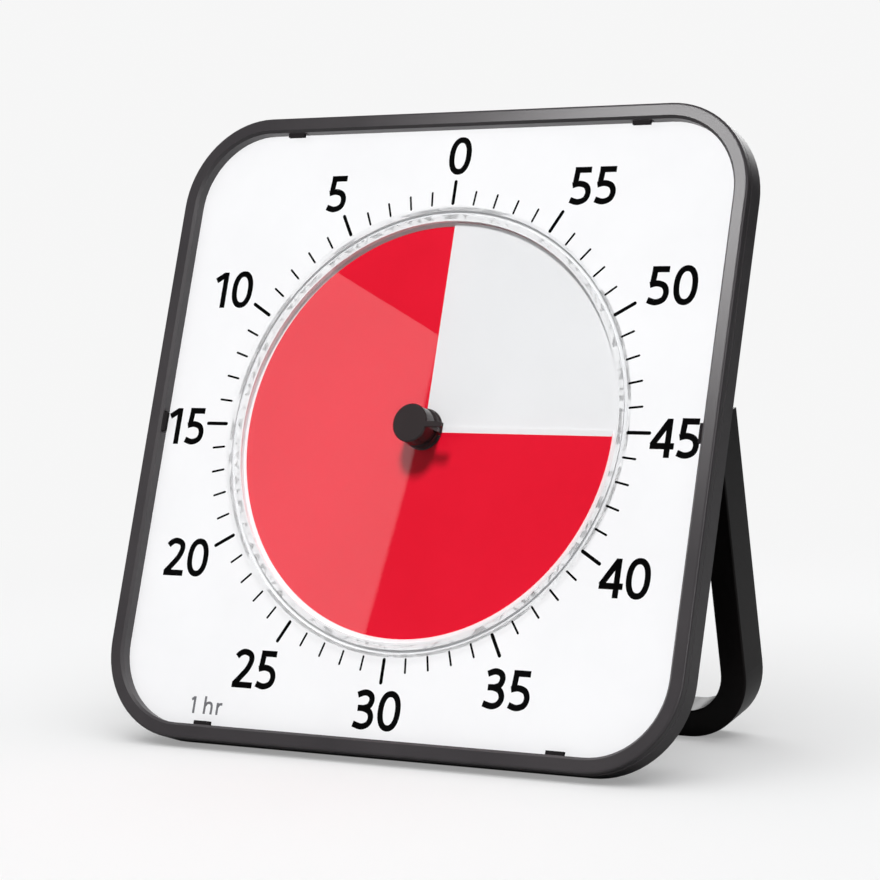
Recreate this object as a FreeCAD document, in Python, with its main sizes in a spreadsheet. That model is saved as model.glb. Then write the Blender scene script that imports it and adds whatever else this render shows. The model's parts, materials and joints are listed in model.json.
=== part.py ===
import FreeCAD, Part
import math
import os
import Sketcher

# Visual countdown timer, built in a dial frame: x to the right, y up the dial, z out towards
# the reader, with the origin on the dial axis in the plane of the printed face. Every
# sub-part is then leaned back as one assembly and set down on the floor.

doc = FreeCAD.newDocument("timer")
sheet = doc.addObject("Spreadsheet::Sheet", "dims")

SIZES = [
    # housing outline and bezel
    ("side_half", 152.5), ("corner_radius", 44), ("bezel_front", 6), ("bezel_back", 1.8),
    ("bezel_width", 7.3), ("bevel_size", 1.25), ("edge_round", 1.3), ("lip_inset", 2.7),
    ("lip_wall", 1.6), ("fit_gap", 0.3), ("groove_size", 0.5), ("tab_width", 9),
    ("tab_offset", 94), ("hook_size", 0.9), ("hook_height", 1.2), ("lug_reach", 1.9),
    ("lug_level", 2.3), ("lug_thick", 1.6), ("slit_width", 0.9), ("slit_level", 1),
    ("slit_deep", 1.1),
    # rear shell
    ("wall", 2.4), ("side_depth", 7.5), ("shell_chamfer", 7.6), ("mouth_margin", 1),
    ("body_inset", 24), ("drop_inset", 31), ("body_depth", 36), ("body_corner", 20),
    ("body_round", 3), ("rib_thick", 1.6), ("rib_height", 5), ("rib_space", 20),
    ("rib_level", -36), ("root", 0.5), ("small_round", 2),
    # printed face and its dish
    ("plate_thick", 2.5), ("dish_radius", 100.3), ("dish_depth", 3), ("dish_wall", 2),
    ("well_radius", 14), ("well_depth", 7.5), ("screw_inset", 24.1), ("screw_radius", 1.5),
    ("boss_radius", 4.5), ("head_radius", 3.1), ("screw_length", 10.5),
    # clear lens
    ("lens_ledge", 2), ("lens_rim", 4.7), ("lens_rise", 3.5), ("lens_front", 2.5),
    ("lens_thick", 1.5), ("lens_hole", 9.6), ("lens_bevel", 0.6), ("tongue_inset", 1.4),
    ("tongue_width", 1.6), ("tongue_depth", 0.9), ("tongue_gap", 0.2), ("tongue_floor", 0.1),
    # dial sheets and hub
    ("sheet_thick", 0.2), ("sheet_pitch", 1.25), ("white_margin", 0.5), ("red_margin", 2),
    ("white_hole", 11.4), ("white_level", -2.9), ("red_level", -2.8), ("stem_radius", 4),
    ("flange_radius", 9.9), ("flange_back", -1.4), ("flange_front", -0.7),
    ("flange_bevel", 0.3), ("hub_top", -2.95), ("hub_thick", 0.9), ("cap_radius", 9.1),
    ("cap_front", 12), ("cap_back", 5), ("cap_round", 0.6), ("waist_radius", 7.5),
    ("waist_root", 0.4), ("fin_width", 3.2), ("fin_reach", 9.2), ("fin_slot", 1.1),
    ("spindle_radius", 2.5), ("spindle_top", 9), ("spindle_short", 1.5), ("run_gap", 0.05),
    # clock movement
    ("case_side", 56), ("case_depth", 14.5), ("case_wall", 2), ("case_round", 4),
    ("cover_thick", 2), ("cover_step", 1), ("bush_radius", 5), ("bush_height", 5.5),
    ("washer_radius", 8), ("washer_thick", 0.8), ("nut_flats", 14), ("nut_height", 2.5),
    ("collar_radius", 6), ("collar_thick", 1.2),
    # folding bail stand
    ("bail_gap", 1), ("bail_arm", 12.5), ("bail_depth", 18.7), ("bail_room", 1.47),
    ("bail_outer_round", 32), ("bail_inner_round", 20), ("bail_edge", 0.8), ("pivot_up", 12),
    ("open_angle", 30), ("pin_radius", 3), ("pin_head", 4.6), ("pin_head_thick", 1.6),
    ("pin_grip", 10), ("pin_short", 0.4), ("hinge_boss", 12), ("core_wall", 2.2),
    ("core_depth", 16), ("core_end", 12),
    # battery bay
    ("cell_radius", 7.25), ("cell_length", 49.2), ("cell_round", 0.5), ("nub_radius", 2.75),
    ("nub_length", 1.1), ("bay_level", -66), ("bay_length", 59), ("bay_height", 16),
    ("bay_wall", 2), ("door_length", 66), ("door_height", 24), ("door_thick", 2.4),
    ("door_rib", 1.4), ("door_rib_height", 1.6), ("door_rib_inset", 8), ("grip_pitch", 4),
    ("grip_width", 1.6), ("grip_length", 12), ("grip_depth", 0.8), ("contact_thick", 0.4),
    ("contact_side", 12), ("spring_space", 3.4), ("spring_width", 5), ("spring_nose", 1.2),
    ("spring_tail", 3.4), ("spring_bend", 1.4),
    # alert board, buzzer and switch
    ("board_half", 30), ("board_low", 46), ("board_high", 80), ("board_thick", 1.6),
    ("post_radius", 3), ("post_pin", 1.2), ("post_inset", 4),
    ("post_gap", 0.1), ("post_proud", 0.6), ("buzzer_radius", 12), ("buzzer_height", 6),
    ("buzzer_side", -14), ("buzzer_port", 1.5), ("buzzer_sink", 2), ("alert_level", 63),
    ("switch_side", 16), ("switch_length", 14), ("switch_height", 8), ("switch_deep", 5.3),
    ("switch_floor", 1.5), ("slider_travel", 4), ("slider_stem", 3), ("slider_length", 7),
    ("slider_height", 6), ("slider_sink", 0.8), ("recess_length", 20), ("recess_height", 11),
    ("recess_depth", 4.4), ("recess_floor", 2), ("sound_radius", 1.25), ("sound_ring", 5),
    # keyhole hanger
    ("key_radius", 4.5), ("key_slot", 2.2), ("key_rise", 9), ("key_level", 100),
    ("key_pocket", 5.6), ("key_margin", 1),
    # attitude of the whole assembly
    ("lean", 21.06), ("setback", -9.436),
]
for row, (name, value) in enumerate(SIZES, start=1):
    sheet.set("A%d" % row, str(value))
    sheet.setAlias("A%d" % row, name)
doc.recompute()


class Size:
    """A length that keeps both its value and the spreadsheet formula behind it."""

    def __init__(self, value, formula):
        self.value = value
        self.formula = formula

    def __add__(self, other):
        other = as_size(other)
        return Size(self.value + other.value, "(%s + %s)" % (self.formula, other.formula))

    def __sub__(self, other):
        other = as_size(other)
        return Size(self.value - other.value, "(%s - %s)" % (self.formula, other.formula))

    def __mul__(self, other):
        other = as_size(other)
        return Size(self.value * other.value, "(%s * %s)" % (self.formula, other.formula))

    def __truediv__(self, other):
        other = as_size(other)
        return Size(self.value / other.value, "(%s / %s)" % (self.formula, other.formula))

    def __neg__(self):
        return Size(-self.value, "(0 - %s)" % self.formula)


def as_size(item):
    if isinstance(item, Size):
        return item
    return Size(float(item), repr(float(item)))


def cosine(angle):
    return Size(math.cos(math.radians(angle.value)), "cos(%s)" % angle.formula)


def sine(angle):
    return Size(math.sin(math.radians(angle.value)), "sin(%s)" % angle.formula)


class Dims:
    """Reads a named size from the spreadsheet list."""

    def __getattr__(self, name):
        return Size(float(dict(SIZES)[name]), "dims." + name)


d = Dims()

# Sizes that follow from the ones above
ledge = d.side_depth + d.shell_chamfer
ledge_inner = ledge - d.wall
body_inner = d.body_depth - d.wall
body_half = d.side_half - d.body_inset
body_drop = d.side_half - d.drop_inset
screw_offset = d.side_half - d.screw_inset
opening_half = d.side_half - d.bezel_width
opening_radius = d.corner_radius - d.bezel_width
lip_half = d.side_half - d.lip_inset
lip_inner = lip_half - d.lip_wall
plate_half = lip_inner - d.fit_gap
shell_half = lip_half + d.fit_gap
shell_radius = d.corner_radius - (d.side_half - shell_half)
plate_radius = d.corner_radius - (d.side_half - plate_half)
mouth_depth = d.side_depth - d.mouth_margin
tab_drop = mouth_depth - d.plate_thick - d.fit_gap
lens_step = d.dish_radius + d.lens_ledge
lens_radius = lens_step + d.lens_rim
tongue_inner = lens_step + d.tongue_inset
tongue_outer = tongue_inner + d.tongue_width
white_radius = d.dish_radius - d.white_margin
red_radius = white_radius - d.red_margin
board_back = d.body_depth - d.recess_depth - d.recess_floor - d.fit_gap - d.switch_deep
well_back = d.well_depth + d.dish_wall
case_back = well_back + d.case_depth
dial_rise = d.side_half * cosine(d.lean) + d.side_depth * sine(d.lean)
tilt = as_size(90) - d.lean

# The bail hangs behind the ledge: its heel meets the ledge when it stands open, and its foot
# then just reaches the floor
bail_front = d.bail_depth / 2
bail_half = body_half + d.bail_gap + d.bail_arm
pivot_back = ledge + d.bail_room + bail_front
head_height = d.bail_room - d.fit_gap
bail_heel = ((d.bail_room - d.fit_gap + bail_front - bail_front * cosine(d.open_angle))
             / sine(d.open_angle))
open_tilt = tilt + d.open_angle
pivot_rise = dial_rise + d.pivot_up * sine(tilt) - pivot_back * cosine(tilt)
foot_drop = pivot_rise - d.bail_edge + (bail_front - d.bail_edge) * cosine(open_tilt)
bail_length = d.bail_edge + foot_drop / sine(open_tilt)
bodies = []


def set_formula(item, path, size):
    item.setExpression(path, as_size(size).formula)


def place(item, up=0, out=0, turn=0):
    """Lean the item back with the assembly; up and out shift it in the dial frame."""
    up, out = as_size(up), as_size(out)
    back_total = d.setback + up * cosine(tilt) - out * sine(tilt)
    rise_total = dial_rise + up * sine(tilt) + out * cosine(tilt)
    angle = tilt + turn
    item.Placement = FreeCAD.Placement(
        FreeCAD.Vector(0, back_total.value, rise_total.value),
        FreeCAD.Rotation(FreeCAD.Vector(1, 0, 0), angle.value))
    set_formula(item, "Placement.Base.y", back_total)
    set_formula(item, "Placement.Base.z", rise_total)
    set_formula(item, "Placement.Rotation.Angle", angle)


def new_body(label, up=0, out=0, turn=0):
    body = doc.addObject("PartDesign::Body", label)
    body.Label = label
    body.AllowCompound = True
    place(body, up, out, turn)
    bodies.append(body)
    return body


def new_sketch(body, level=0, plane="XY_Plane"):
    """A sketch on one of the body's own origin planes, moved along its normal by level."""
    sketch = body.newObject("Sketcher::SketchObject", body.Label + "_sketch")
    origin = [item for item in body.Origin.OriginFeatures if item.Role == plane][0]
    sketch.AttachmentSupport = [(origin, "")]
    sketch.MapMode = "FlatFace"
    level = as_size(level)
    sketch.AttachmentOffset = FreeCAD.Placement(
        FreeCAD.Vector(0, 0, level.value), FreeCAD.Rotation())
    set_formula(sketch, "AttachmentOffset.Base.z", level)
    return sketch


def fix_coordinate(sketch, kind, geometry, point, size):
    size = as_size(size)
    if size.formula == "0.0":
        axis = -2 if kind == "DistanceX" else -1
        sketch.addConstraint(Sketcher.Constraint("PointOnObject", geometry, point, axis))
        return
    index = sketch.addConstraint(Sketcher.Constraint(kind, -1, 1, geometry, point, size.value))
    sketch.setExpression("Constraints[%d]" % index, size.formula)


def draw_outline(sketch, points):
    """A closed outline through (x, y) points, each coordinate tied to its formula."""
    points = [(as_size(x), as_size(y)) for x, y in points]
    first = sketch.GeometryCount
    count = len(points)
    for i in range(count):
        (x0, y0), (x1, y1) = points[i], points[(i + 1) % count]
        sketch.addGeometry(Part.LineSegment(
            FreeCAD.Vector(x0.value, y0.value, 0), FreeCAD.Vector(x1.value, y1.value, 0)))
    for i in range(count):
        following = first + (i + 1) % count
        sketch.addConstraint(Sketcher.Constraint("Coincident", first + i, 2, following, 1))
    for i, (x, y) in enumerate(points):
        fix_coordinate(sketch, "DistanceX", first + i, 1, x)
        fix_coordinate(sketch, "DistanceY", first + i, 1, y)


def draw_box(sketch, left, right, bottom, top):
    draw_outline(sketch, [(left, bottom), (right, bottom), (right, top), (left, top)])


def draw_circle(sketch, x, y, radius):
    x, y, radius = as_size(x), as_size(y), as_size(radius)
    centre = FreeCAD.Vector(x.value, y.value, 0)
    index = sketch.addGeometry(Part.Circle(centre, FreeCAD.Vector(0, 0, 1), radius.value))
    fix_coordinate(sketch, "DistanceX", index, 3, x)
    fix_coordinate(sketch, "DistanceY", index, 3, y)
    rule = sketch.addConstraint(Sketcher.Constraint("Radius", index, radius.value))
    sketch.setExpression("Constraints[%d]" % rule, radius.formula)


def draw_rounded(sketch, left, right, bottom, top, radius):
    """A rectangle with four equal rounded corners."""
    left, right = as_size(left), as_size(right)
    bottom, top, radius = as_size(bottom), as_size(top), as_size(radius)
    x0, x1, y0, y1, r = left.value, right.value, bottom.value, top.value, radius.value
    first = sketch.GeometryCount
    corners = [(x1 - r, y0 + r, 270), (x1 - r, y1 - r, 0), (x0 + r, y1 - r, 90),
               (x0 + r, y0 + r, 180)]
    runs = [((x0 + r, y0), (x1 - r, y0)), ((x1, y0 + r), (x1, y1 - r)),
            ((x1 - r, y1), (x0 + r, y1)), ((x0, y1 - r), (x0, y0 + r))]
    for (start, end), (cx, cy, angle) in zip(runs, corners):
        sketch.addGeometry(Part.LineSegment(
            FreeCAD.Vector(start[0], start[1], 0), FreeCAD.Vector(end[0], end[1], 0)))
        circle = Part.Circle(FreeCAD.Vector(cx, cy, 0), FreeCAD.Vector(0, 0, 1), r)
        sketch.addGeometry(Part.ArcOfCircle(
            circle, math.radians(angle), math.radians(angle + 90)))
    for i in range(8):
        following = first + (i + 1) % 8
        sketch.addConstraint(Sketcher.Constraint("Tangent", first + i, 2, following, 1))
    for i in range(0, 8, 4):
        sketch.addConstraint(Sketcher.Constraint("Horizontal", first + i))
        sketch.addConstraint(Sketcher.Constraint("Vertical", first + i + 2))
    for i in range(3, 8, 2):
        sketch.addConstraint(Sketcher.Constraint("Equal", first + 1, first + i))
    rule = sketch.addConstraint(Sketcher.Constraint("Radius", first + 1, r))
    sketch.setExpression("Constraints[%d]" % rule, radius.formula)
    fix_coordinate(sketch, "DistanceY", first, 1, bottom)
    fix_coordinate(sketch, "DistanceX", first + 2, 1, right)
    fix_coordinate(sketch, "DistanceY", first + 4, 1, top)
    fix_coordinate(sketch, "DistanceX", first + 6, 1, left)


def draw_square(sketch, half, radius):
    draw_rounded(sketch, -half, half, -half, half, radius)


def add_feature(body, kind, sketch, length=None, midplane=False, reverse=False):
    feature = body.newObject("PartDesign::" + kind, body.Label + "_" + kind.lower())
    feature.Profile = (sketch, [""])
    if length is None:
        feature.Type = 1
    else:
        feature.Length = as_size(length).value
        set_formula(feature, "Length", length)
    feature.Midplane = midplane
    feature.Reversed = reverse
    sketch.Visibility = False
    body.Tip = feature
    return feature


def pad(body, sketch, length, midplane=False, reverse=False):
    return add_feature(body, "Pad", sketch, length, midplane, reverse)


def cut(body, sketch, length=None, up=True, midplane=False):
    """Remove the sketch from the body, up along the sketch normal or down against it."""
    return add_feature(body, "Pocket", sketch, length, midplane, up)


def turn(body, level_sketch, kind="Revolution", axis="V_Axis"):
    feature = body.newObject("PartDesign::" + kind, body.Label + "_turned")
    feature.Profile = (level_sketch, [""])
    feature.ReferenceAxis = (level_sketch, [axis])
    feature.Angle = 360
    level_sketch.Visibility = False
    body.Tip = feature
    return feature


def dress(body, kind, size, test):
    """Round or bevel the edges of the newest shape that pass the test."""
    doc.recompute()
    base = body.Tip
    names = []
    for i, edge in enumerate(base.Shape.Edges, start=1):
        if test(edge):
            names.append("Edge%d" % i)
    feature = body.newObject("PartDesign::" + kind, body.Label + "_" + kind.lower())
    feature.Base = (base, names)
    path = "Radius" if kind == "Fillet" else "Size"
    setattr(feature, path, as_size(size).value)
    set_formula(feature, path, size)
    body.Tip = feature
    return feature


def flat_at(edge, level, reach):
    """True for an edge that lies at one height and no nearer the axis than reach."""
    box = edge.BoundBox
    far = max(abs(box.XMin), abs(box.XMax), abs(box.YMin), abs(box.YMax))
    return abs(box.ZMin - level) < 0.01 and abs(box.ZMax - level) < 0.01 and far > reach


def four_corners(offset):
    return [(offset * sx, offset * sy) for sx in (-1, 1) for sy in (-1, 1)]


# Front bezel: a picture-frame moulding with a rear lip, six snap tabs and a bevelled opening
bezel = new_body("front_bezel")
outline = new_sketch(bezel, d.bezel_back)
draw_square(outline, d.side_half, d.corner_radius)
pad(bezel, outline, d.bezel_front - d.bezel_back)
outline = new_sketch(bezel, -d.plate_thick)
draw_square(outline, lip_half, d.corner_radius - d.lip_inset)
pad(bezel, outline, d.plate_thick + d.bezel_back)
outline = new_sketch(bezel, d.bezel_front)
draw_square(outline, opening_half, opening_radius)
cut(bezel, outline, up=False)
outline = new_sketch(bezel, -d.plate_thick)
draw_square(outline, lip_inner, d.corner_radius - (d.side_half - lip_inner))
cut(bezel, outline, d.plate_thick)
dress(bezel, "Chamfer", d.bevel_size, lambda edge: flat_at(edge, d.bezel_front.value, 90)
      and max(abs(edge.BoundBox.XMax), abs(edge.BoundBox.XMin), abs(edge.BoundBox.YMax),
              abs(edge.BoundBox.YMin)) < opening_half.value + 0.1)
dress(bezel, "Fillet", d.edge_round,
      lambda edge: flat_at(edge, d.bezel_front.value, d.side_half.value - 1))


def draw_tabs(sketch, inner, outer, half_width, shift=0):
    """Six small rectangles along the lip: two above, two below and one on each side."""
    for side in (-1, 1):
        low, high = (inner, outer) if side > 0 else (-outer, -inner)
        for centre in (-d.tab_offset + shift, d.tab_offset + shift):
            draw_box(sketch, centre - half_width, centre + half_width, low, high)
        draw_box(sketch, low, high, -half_width + shift, half_width + shift)


outline = new_sketch(bezel, -d.plate_thick - tab_drop)
draw_tabs(outline, lip_inner, lip_half, d.tab_width / 2)
pad(bezel, outline, tab_drop)
outline = new_sketch(bezel, -d.plate_thick - tab_drop)
draw_tabs(outline, lip_half - d.root, lip_half + d.hook_size, d.tab_width / 2)
pad(bezel, outline, d.hook_height)
# card lugs inside the opening, each between two short slits
outline = new_sketch(bezel, d.lug_level)
draw_tabs(outline, opening_half - d.lug_reach, opening_half + d.root, d.tab_width / 2)
pad(bezel, outline, d.lug_thick)
slit_shift = d.tab_width / 2 + d.slit_width / 2
for shift in (-slit_shift, slit_shift):
    outline = new_sketch(bezel, d.slit_level)
    draw_tabs(outline, opening_half - d.root, opening_half + d.slit_deep, d.slit_width / 2, shift)
    cut(bezel, outline, d.lug_level + d.lug_thick - d.slit_level)

# Rear housing: a shallow tray with a chamfered shoulder, a ledge for the folded stand and a
# deeper centre box that holds the movement, the alert board and the battery bay
housing = new_body("rear_housing")
outline = new_sketch(housing, -ledge)
draw_square(outline, d.side_half, d.corner_radius)
pad(housing, outline, ledge + d.bezel_back)
dress(housing, "Chamfer", d.shell_chamfer, lambda edge: flat_at(edge, -ledge.value, 90))
outline = new_sketch(housing, -d.body_depth)
draw_rounded(outline, -body_half, body_half, -body_drop, body_half, d.body_corner)
pad(housing, outline, d.body_depth - ledge)
dress(housing, "Fillet", d.body_round, lambda edge: flat_at(edge, -d.body_depth.value, 90))
outline = new_sketch(housing, d.bezel_back)
draw_square(outline, shell_half, shell_radius)
cut(housing, outline, d.bezel_back + mouth_depth, up=False)
outline = new_sketch(housing, -ledge_inner)
inner_step = (shell_half - d.side_half + ledge_inner - d.side_depth
              + d.wall * math.sqrt(2))
draw_square(outline, shell_half - inner_step, shell_radius - inner_step)
cut(housing, outline, ledge_inner)
outline = new_sketch(housing, -body_inner)
draw_rounded(outline, d.wall - body_half, body_half - d.wall, d.wall - body_drop,
             body_half - d.wall, d.body_corner - d.wall)
cut(housing, outline, body_inner)
outline = new_sketch(housing, d.bezel_back)
draw_square(outline, d.side_half + 1, d.corner_radius + 1)
draw_square(outline, d.side_half - d.groove_size * 2, d.corner_radius - d.groove_size * 2)
cut(housing, outline, d.groove_size, up=False)
# pockets in the side wall for the bezel hooks
outline = new_sketch(housing, -d.plate_thick - tab_drop - d.fit_gap)
draw_tabs(outline, shell_half - d.root, lip_half + d.hook_size + d.fit_gap,
          d.tab_width / 2 + d.fit_gap)
cut(housing, outline, d.hook_height + d.fit_gap * 2)
# clearance holes for the case screws
outline = new_sketch(housing, -ledge)
for x, y in four_corners(screw_offset):
    draw_circle(outline, x, y, d.screw_radius + d.fit_gap)
cut(housing, outline, d.wall)
# inner blocks: hinge bosses, battery bay, switch recess, keyhole pocket, ribs and board posts
outline = new_sketch(housing, -body_inner)
boss_inner = body_half - d.wall - d.pin_grip
boss_outer = body_half - d.wall + d.root
for side in (-1, 1):
    ends = (boss_inner, boss_outer) if side > 0 else (-boss_outer, -boss_inner)
    draw_box(outline, ends[0], ends[1], d.pivot_up - d.hinge_boss / 2,
             d.pivot_up + d.hinge_boss / 2)
pad(housing, outline, body_inner - pivot_back + d.hinge_boss / 2)
bay_back = body_inner
cell_out = d.door_thick + d.fit_gap + d.cell_radius
bay_floor = d.body_depth - cell_out - d.cell_radius - d.fit_gap
outline = new_sketch(housing, -bay_back)
half_length = d.door_length / 2 + d.bay_wall
half_height = d.door_height / 2 + d.bay_wall
draw_box(outline, -half_length, half_length, d.bay_level - half_height, d.bay_level + half_height)
pad(housing, outline, bay_back - bay_floor + d.bay_wall)
outline = new_sketch(housing, -body_inner)
draw_box(outline, d.switch_side - d.recess_length / 2 - d.bay_wall,
         d.switch_side + d.recess_length / 2 + d.bay_wall,
         d.alert_level - d.recess_height / 2 - d.bay_wall,
         d.alert_level + d.recess_height / 2 + d.bay_wall)
pad(housing, outline, d.recess_depth + d.recess_floor - d.wall)
outline = new_sketch(housing, -body_inner)
key_half = d.key_radius + d.key_margin + d.bay_wall
draw_box(outline, -key_half, key_half, d.key_level - key_half,
         d.key_level + d.key_rise + key_half)
pad(housing, outline, d.key_pocket + d.bay_wall)
outline = new_sketch(housing, -body_inner)
rib_top = body_half - d.wall + d.root
for side in (-1, 1):
    centre = (d.door_length / 2 + d.rib_space) * side
    draw_box(outline, centre - d.rib_thick / 2, centre + d.rib_thick / 2,
             d.wall - d.root - body_drop, rib_top)
pad(housing, outline, d.rib_height)
outline = new_sketch(housing, -body_inner)
draw_box(outline, -rib_top, rib_top, d.rib_level - d.rib_thick / 2,
         d.rib_level + d.rib_thick / 2)
pad(housing, outline, d.rib_height)
post_spots = [(x, y) for x in (d.post_inset - d.board_half, d.board_half - d.post_inset)
              for y in (d.board_low + d.post_inset, d.board_high - d.post_inset)]
outline = new_sketch(housing, -body_inner)
for x, y in post_spots:
    draw_circle(outline, x, y, d.post_radius)
pad(housing, outline, body_inner - board_back)
outline = new_sketch(housing, -board_back)
for x, y in post_spots:
    draw_circle(outline, x, y, d.post_pin)
pad(housing, outline, d.board_thick + d.post_proud)
# openings cut from behind: door seat, cell bay, switch recess and slot, keyhole, sound holes
outline = new_sketch(housing, -d.body_depth)
draw_rounded(outline, -d.door_length / 2 - d.fit_gap, d.door_length / 2 + d.fit_gap,
             d.bay_level - d.door_height / 2 - d.fit_gap,
             d.bay_level + d.door_height / 2 + d.fit_gap, d.small_round)
cut(housing, outline, d.door_thick)
outline = new_sketch(housing, -d.body_depth)
draw_box(outline, -d.bay_length / 2, d.bay_length / 2, d.bay_level - d.bay_height / 2,
         d.bay_level + d.bay_height / 2)
cut(housing, outline, d.body_depth - bay_floor)
outline = new_sketch(housing, -d.body_depth)
draw_rounded(outline, d.switch_side - d.recess_length / 2, d.switch_side + d.recess_length / 2,
             d.alert_level - d.recess_height / 2, d.alert_level + d.recess_height / 2,
             d.small_round)
cut(housing, outline, d.recess_depth)
outline = new_sketch(housing, -d.body_depth)
stem_half = d.slider_stem / 2
draw_box(outline, d.switch_side - d.slider_travel / 2 - stem_half - d.fit_gap,
         d.switch_side + d.slider_travel / 2 + stem_half + d.fit_gap,
         d.alert_level - stem_half - d.fit_gap, d.alert_level + stem_half + d.fit_gap)
cut(housing, outline, d.recess_depth + d.recess_floor + d.fit_gap)
outline = new_sketch(housing, -d.body_depth)
draw_circle(outline, 0, d.key_level, d.key_radius)
cut(housing, outline, d.wall)
outline = new_sketch(housing, -d.body_depth)
draw_box(outline, -d.key_slot, d.key_slot, d.key_level, d.key_level + d.key_rise)
cut(housing, outline, d.wall)
outline = new_sketch(housing, -body_inner)
pocket_half = d.key_radius + d.key_margin
draw_box(outline, -pocket_half, pocket_half, d.key_level - pocket_half,
         d.key_level + d.key_rise + pocket_half)
cut(housing, outline, d.key_pocket)
outline = new_sketch(housing, -d.body_depth)
draw_circle(outline, d.buzzer_side, d.alert_level, d.sound_radius)
for step in range(6):
    angle = math.radians(60 * step)
    draw_circle(outline, d.buzzer_side + d.sound_ring * math.cos(angle),
                d.alert_level + d.sound_ring * math.sin(angle), d.sound_radius)
cut(housing, outline, d.wall)
outline = new_sketch(housing, 0, "YZ_Plane")
draw_circle(outline, d.pivot_up, -pivot_back, d.pin_radius)
cut(housing, outline, (body_half + d.root) * 2, midplane=True)

# Printed face: a flat plate with a shallow dish for the dial sheets and a well for the nut
plate = new_body("face_plate")
outline = new_sketch(plate, -d.plate_thick)
draw_square(outline, plate_half, plate_radius)
pad(plate, outline, d.plate_thick)
outline = new_sketch(plate, -d.dish_depth - d.dish_wall)
draw_circle(outline, 0, 0, d.dish_radius + d.dish_wall)
pad(plate, outline, d.dish_depth + d.dish_wall - d.plate_thick)
outline = new_sketch(plate, -well_back)
draw_circle(outline, 0, 0, d.well_radius + d.dish_wall)
pad(plate, outline, well_back - d.dish_depth)
outline = new_sketch(plate, -ledge_inner)
for x, y in four_corners(screw_offset):
    draw_circle(outline, x, y, d.boss_radius)
pad(plate, outline, ledge_inner - d.plate_thick / 2)
outline = new_sketch(plate, 0)
draw_circle(outline, 0, 0, d.dish_radius)
cut(plate, outline, d.dish_depth, up=False)
outline = new_sketch(plate, 0)
draw_circle(outline, 0, 0, d.well_radius)
cut(plate, outline, d.well_depth, up=False)
outline = new_sketch(plate, 0)
draw_circle(outline, 0, 0, d.bush_radius + d.tongue_gap)
cut(plate, outline, up=False)
outline = new_sketch(plate, 0)
draw_circle(outline, 0, 0, tongue_outer + d.tongue_gap)
draw_circle(outline, 0, 0, tongue_inner - d.tongue_gap)
cut(plate, outline, d.tongue_depth + d.tongue_floor, up=False)
outline = new_sketch(plate, -ledge_inner)
for x, y in four_corners(screw_offset):
    draw_circle(outline, x, y, d.screw_radius)
cut(plate, outline, d.screw_length - d.wall + d.fit_gap)

# Clear lens: a flat window with a raised rim and a tongue that seats in the face plate
lens = new_body("clear_lens")
outline = new_sketch(lens, 0, "XZ_Plane")
lens_under = d.lens_front - d.lens_thick
draw_outline(outline, [
    (d.lens_hole, lens_under), (d.dish_radius, lens_under), (d.dish_radius + lens_under, 0),
    (tongue_inner, 0), (tongue_inner, -d.tongue_depth), (tongue_outer, -d.tongue_depth),
    (tongue_outer, 0), (lens_radius, 0), (lens_radius, d.lens_rise - d.lens_bevel),
    (lens_radius - d.lens_bevel, d.lens_rise),
    (lens_step + d.lens_rise - d.lens_front, d.lens_rise),
    (lens_step, d.lens_front), (d.lens_hole, d.lens_front)])
turn(lens, outline)


def dial_sheet(label, plane, hole, radius, level):
    """A thin sheet wound through one turn, low at one edge of its slit and high at the other."""
    body = new_body(label)
    sketch = new_sketch(body, 0, plane)
    draw_box(sketch, hole, radius, level - d.sheet_thick / 2, level + d.sheet_thick / 2)
    helix = body.newObject("PartDesign::AdditiveHelix", label + "_turn")
    helix.Profile = (sketch, [""])
    helix.ReferenceAxis = (sketch, ["V_Axis"])
    helix.Mode = 0
    helix.Pitch = d.sheet_pitch.value
    helix.Height = d.sheet_pitch.value
    set_formula(helix, "Pitch", d.sheet_pitch)
    set_formula(helix, "Height", d.sheet_pitch)
    helix.LeftHanded = False
    sketch.Visibility = False
    body.Tip = helix


# White sheet slit at zero minutes; red sheet with its leading edge at forty-five minutes
dial_sheet("white_disc", "YZ_Plane", d.white_hole, white_radius, d.white_level)
dial_sheet("red_disc", "XZ_Plane", d.stem_radius + d.tongue_gap, red_radius, d.red_level)

# Setting knob: cap, waist and flange in one moulding, with a fin over the red leading edge
knob = new_body("knob")
outline = new_sketch(knob, 0, "XZ_Plane")
draw_outline(outline, [
    (d.spindle_radius, d.hub_top), (d.stem_radius, d.hub_top), (d.stem_radius, d.flange_back),
    (d.flange_radius, d.flange_back), (d.flange_radius, d.flange_front - d.flange_bevel),
    (d.flange_radius - d.flange_bevel, d.flange_front),
    (d.waist_radius, d.flange_front + d.waist_root),
    (d.waist_radius, d.cap_back), (d.cap_radius, d.cap_back),
    (d.cap_radius, d.cap_front - d.cap_round), (d.cap_radius - d.cap_round, d.cap_front),
    (0, d.cap_front), (0, d.spindle_top), (d.spindle_radius, d.spindle_top)])
turn(knob, outline)
outline = new_sketch(knob, 0, "XZ_Plane")
fin_foot = d.flange_front - d.flange_bevel
fin_head = d.cap_back + d.root
draw_outline(outline, [
    (d.waist_radius - d.root, fin_foot), (d.fin_reach, fin_foot),
    (d.cap_radius - d.tongue_gap, fin_head), (d.waist_radius - d.root, fin_head)])
pad(knob, outline, d.fin_width, midplane=True)
outline = new_sketch(knob, d.flange_back)
draw_box(outline, d.waist_radius + d.waist_root, d.flange_radius + d.root,
         -d.fin_width / 2 - d.fin_slot, -d.fin_width / 2)
cut(knob, outline, d.flange_front - d.flange_back + d.waist_root)

# Disc hub: the washer that clamps the red sheet from behind
hub = new_body("disc_hub")
outline = new_sketch(hub, d.hub_top)
draw_circle(outline, 0, 0, d.flange_radius)
draw_circle(outline, 0, 0, d.spindle_radius)
pad(hub, outline, d.hub_thick, reverse=True)

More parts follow.
